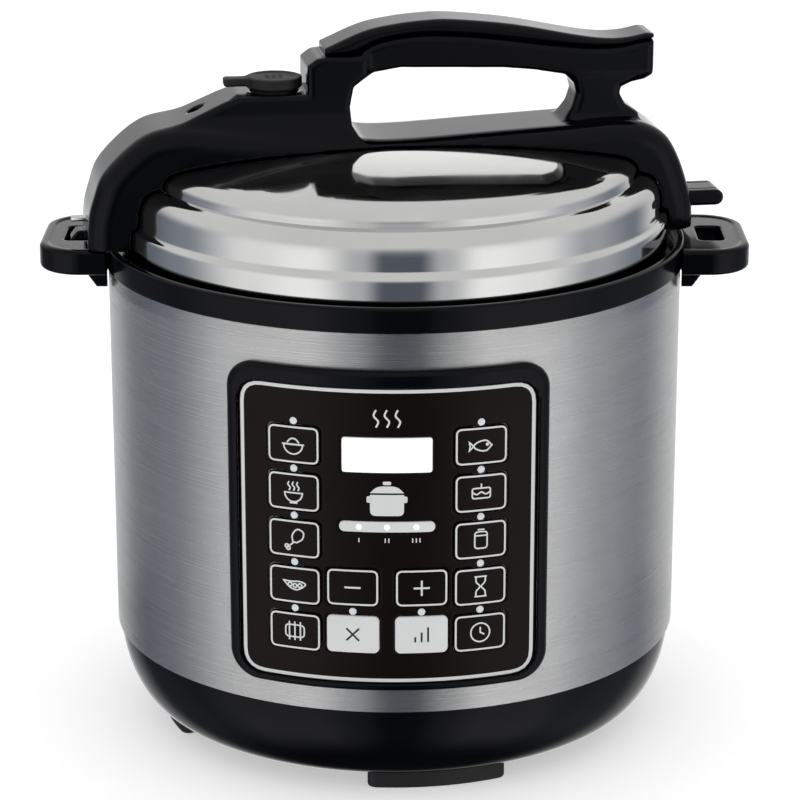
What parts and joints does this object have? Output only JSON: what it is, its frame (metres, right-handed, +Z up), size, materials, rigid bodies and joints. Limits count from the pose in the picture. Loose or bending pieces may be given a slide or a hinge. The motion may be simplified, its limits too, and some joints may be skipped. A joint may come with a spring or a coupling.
{
  "type": "electric pressure cooker",
  "caption": "Round electric pressure cooker with a steel body on a plastic base, a curved key panel, a lift-out pot, and a turning steel lid with a loop handle and steam valve.",
  "frame": {"origin": "on the body's axis, on the surface that the feet stand on", "axes": "+Z up, the control panel faces -Y, the ears lie along X"},
  "size_m": [0.332, 0.2755, 0.3384],
  "materials": {
    "gloss_black": "moulded gloss black with a slight navy tint",
    "matte_black": "fine satin black",
    "panel_black": "printed brown-black panel film",
    "key_grey": "light grey printed key",
    "lens_white": "milky window and light guides",
    "brushed_steel": "vertical light bands on round-brushed stainless sheet",
    "polished_steel": "polished stainless sheet",
    "pressed_steel": "plain pressed stainless sheet",
    "aluminium": "cast and sheet aluminium, satin",
    "brass": "plain brass",
    "pot_coating": "dark non-stick coating",
    "silicone": "translucent white silicone",
    "signal_red": "red float",
    "board_green": "green circuit board"
  },
  "bodies": {
    "base": {"base_cover": "gloss_black", "bottom_plate": "matte_black", "outer_shell": "brushed_steel", "upper_ring": "gloss_black", "heat_shield": "aluminium", "support_pot": "pressed_steel", "heating_plate": "aluminium", "sensor_spring": "pressed_steel", "pressure_switch": "matte_black", "power_board": "board_green", "inlet_socket": "matte_black", "panel_bezel": "gloss_black", "panel_face": "panel_black", "display_window": "lens_white", "level_window": "lens_white", "display_module": "matte_black", "control_board": "board_green", "light_guide_left": "lens_white", "light_guide_right": "lens_white", "light_guide_centre": "lens_white", "foot_1": "matte_black", "foot_2": "matte_black", "foot_3": "matte_black", "foot_4": "matte_black", "inlet_pin_1": "brass", "inlet_pin_2": "brass", "inlet_pin_3": "brass"},
    "sensor": {"thermal_sensor": "aluminium"},
    "pot": {"inner_pot": "pot_coating"},
    "seal": {"sealing_ring": "silicone"},
    "lid": {"inner_lid": "pressed_steel", "lid_cover": "polished_steel", "lid_handle": "gloss_black", "grip_cap": "gloss_black", "stand_tab": "gloss_black", "guide_pin": "polished_steel", "vent_pipe": "pressed_steel", "steam_shield": "pressed_steel", "lid_screw_1": "pressed_steel", "lid_screw_2": "pressed_steel"},
    "valve": {"steam_valve": "matte_black"},
    "float": {"float_pin": "signal_red", "float_seal": "silicone"},
    "key_left_1": {"key_left_1": "panel_black"},
    "key_left_2": {"key_left_2": "panel_black"},
    "key_left_3": {"key_left_3": "panel_black"},
    "key_left_4": {"key_left_4": "panel_black"},
    "key_left_5": {"key_left_5": "panel_black"},
    "key_right_1": {"key_right_1": "panel_black"},
    "key_right_2": {"key_right_2": "panel_black"},
    "key_right_3": {"key_right_3": "panel_black"},
    "key_right_4": {"key_right_4": "panel_black"},
    "key_right_5": {"key_right_5": "panel_black"},
    "key_minus": {"key_minus": "panel_black"},
    "key_plus": {"key_plus": "panel_black"},
    "key_cancel": {"key_cancel": "key_grey"},
    "key_pressure": {"key_pressure": "key_grey"}
  },
  "joints": [
    {"name": "pot_lift", "type": "slide", "parent": "base", "child": "pot", "axis": [0, 0, 1], "range_m": [0, 0.19]},
    {"name": "lid_lift", "type": "slide", "parent": "pot", "child": "seal", "axis": [0, 0, 1], "range_m": [0, 0.15]},
    {"name": "lid_turn", "type": "hinge", "parent": "seal", "child": "lid", "pos_m": [0, 0, 0.24], "axis": [0, 0, 1], "range_deg": [-9, 13.5]},
    {"name": "valve_turn", "type": "hinge", "parent": "lid", "child": "valve", "pos_m": [-0.0558, -0.00884, 0.308], "axis": [0, 0, 1], "range_deg": [-40, 40]},
    {"name": "float_rise", "type": "slide", "parent": "lid", "child": "float", "axis": [0, 0, 1], "range_m": [0, 0.006]},
    {"name": "sensor_press", "type": "slide", "parent": "base", "child": "sensor", "axis": [0, 0, -1], "range_m": [0, 0.003], "stiffness_N_per_m": 400, "springref_m": -0.003, "deforming": ["sensor_spring"]},
    {"name": "press_left_1", "type": "slide", "parent": "base", "child": "key_left_1", "axis": [0.3223, 0.9466, 0], "range_m": [0, 0.0006], "stiffness_N_per_m": 400, "springref_m": -0.001},
    {"name": "press_left_2", "type": "slide", "parent": "base", "child": "key_left_2", "axis": [0.3223, 0.9466, 0], "range_m": [0, 0.0006], "stiffness_N_per_m": 400, "springref_m": -0.001},
    {"name": "press_left_3", "type": "slide", "parent": "base", "child": "key_left_3", "axis": [0.3223, 0.9466, 0], "range_m": [0, 0.0006], "stiffness_N_per_m": 400, "springref_m": -0.001},
    {"name": "press_left_4", "type": "slide", "parent": "base", "child": "key_left_4", "axis": [0.3223, 0.9466, 0], "range_m": [0, 0.0006], "stiffness_N_per_m": 400, "springref_m": -0.001},
    {"name": "press_left_5", "type": "slide", "parent": "base", "child": "key_left_5", "axis": [0.3223, 0.9466, 0], "range_m": [0, 0.0006], "stiffness_N_per_m": 400, "springref_m": -0.001},
    {"name": "press_right_1", "type": "slide", "parent": "base", "child": "key_right_1", "axis": [-0.279, 0.9603, 0], "range_m": [0, 0.0006], "stiffness_N_per_m": 400, "springref_m": -0.001},
    {"name": "press_right_2", "type": "slide", "parent": "base", "child": "key_right_2", "axis": [-0.279, 0.9603, 0], "range_m": [0, 0.0006], "stiffness_N_per_m": 400, "springref_m": -0.001},
    {"name": "press_right_3", "type": "slide", "parent": "base", "child": "key_right_3", "axis": [-0.279, 0.9603, 0], "range_m": [0, 0.0006], "stiffness_N_per_m": 400, "springref_m": -0.001},
    {"name": "press_right_4", "type": "slide", "parent": "base", "child": "key_right_4", "axis": [-0.279, 0.9603, 0], "range_m": [0, 0.0006], "stiffness_N_per_m": 400, "springref_m": -0.001},
    {"name": "press_right_5", "type": "slide", "parent": "base", "child": "key_right_5", "axis": [-0.279, 0.9603, 0], "range_m": [0, 0.0006], "stiffness_N_per_m": 400, "springref_m": -0.001},
    {"name": "press_minus", "type": "slide", "parent": "base", "child": "key_minus", "axis": [0.134, 0.991, 0], "range_m": [0, 0.0006], "stiffness_N_per_m": 400, "springref_m": -0.001},
    {"name": "press_plus", "type": "slide", "parent": "base", "child": "key_plus", "axis": [-0.0889, 0.996, 0], "range_m": [0, 0.0006], "stiffness_N_per_m": 400, "springref_m": -0.001},
    {"name": "press_cancel", "type": "slide", "parent": "base", "child": "key_cancel", "axis": [0.134, 0.991, 0], "range_m": [0, 0.0006], "stiffness_N_per_m": 400, "springref_m": -0.001},
    {"name": "press_pressure", "type": "slide", "parent": "base", "child": "key_pressure", "axis": [-0.0889, 0.996, 0], "range_m": [0, 0.0006], "stiffness_N_per_m": 400, "springref_m": -0.001}
  ]
}
